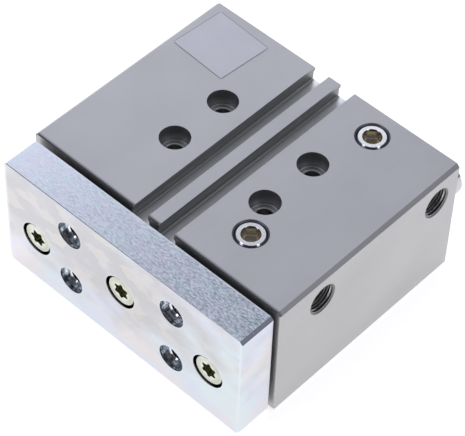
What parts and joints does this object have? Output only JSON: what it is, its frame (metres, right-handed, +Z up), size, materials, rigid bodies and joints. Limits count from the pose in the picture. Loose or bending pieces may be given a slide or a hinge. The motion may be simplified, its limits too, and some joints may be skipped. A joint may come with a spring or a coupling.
{
  "type": "guided pneumatic cylinder",
  "caption": "Compact guided pneumatic cylinder: a block housing whose piston and ball-guided rods push a tapped yoke plate straight out.",
  "frame": {"origin": "centre of the four housing bolt holes, on the bottom face", "axes": "+Z up, -Y out of the yoke plate's front face, which is the way it extends, +X towards the side with the ports"},
  "size_m": [0.095, 0.1029, 0.0432],
  "materials": {
    "anodised_aluminium": "satin grey anodised",
    "zinc_plate": "bright zinc plated, faint blue and pink tint",
    "screw_zinc": "pale yellow zinc plated",
    "plug_nickel": "bright nickel plated",
    "ground_rod": "hardened and ground",
    "bearing_steel": "ground",
    "spring_steel": "phosphated dark grey",
    "gland_aluminium": "turned",
    "bush_bronze": "sintered bronze",
    "cage_plastic": "natural moulded plastic",
    "seal_rubber": "matt black",
    "magnet_black": "plastic-bonded magnet, matt",
    "label_film": "bare satin film"
  },
  "bodies": {
    "cylinder_body": {"housing": "anodised_aluminium", "rod_gland": "gland_aluminium", "rod_bush": "bush_bronze", "rod_seal": "seal_rubber", "gland_o_ring": "seal_rubber", "gland_retaining_ring": "spring_steel", "end_cap": "gland_aluminium", "end_cap_o_ring": "seal_rubber", "end_cap_retaining_ring": "spring_steel", "front_port_plug": "plug_nickel", "rear_port_plug": "plug_nickel", "front_left_bush_sleeve": "bearing_steel", "front_right_bush_sleeve": "bearing_steel", "rear_left_bush_sleeve": "bearing_steel", "rear_right_bush_sleeve": "bearing_steel", "front_left_ball_cage": "cage_plastic", "front_right_ball_cage": "cage_plastic", "rear_left_ball_cage": "cage_plastic", "rear_right_ball_cage": "cage_plastic", "front_left_balls": "bearing_steel", "front_right_balls": "bearing_steel", "rear_left_balls": "bearing_steel", "rear_right_balls": "bearing_steel", "front_left_wiper": "seal_rubber", "front_right_wiper": "seal_rubber", "rear_left_wiper": "seal_rubber", "rear_right_wiper": "seal_rubber"},
    "yoke_carriage": {"yoke_plate": "zinc_plate", "piston_rod": "ground_rod", "piston_front_half": "gland_aluminium", "piston_rear_half": "gland_aluminium", "piston_magnet": "magnet_black", "piston_guide_ring": "cage_plastic", "front_piston_seal": "seal_rubber", "rear_piston_seal": "seal_rubber", "front_buffer": "seal_rubber", "rear_buffer": "seal_rubber", "piston_nut": "screw_zinc", "left_guide_rod": "ground_rod", "right_guide_rod": "ground_rod", "left_guide_screw": "screw_zinc", "right_guide_screw": "screw_zinc", "piston_rod_screw": "screw_zinc"}
  },
  "joints": [
    {"name": "yoke_slide", "type": "slide", "parent": "cylinder_body", "child": "yoke_carriage", "axis": [0, -1, 0], "range_m": [0, 0.03]}
  ]
}
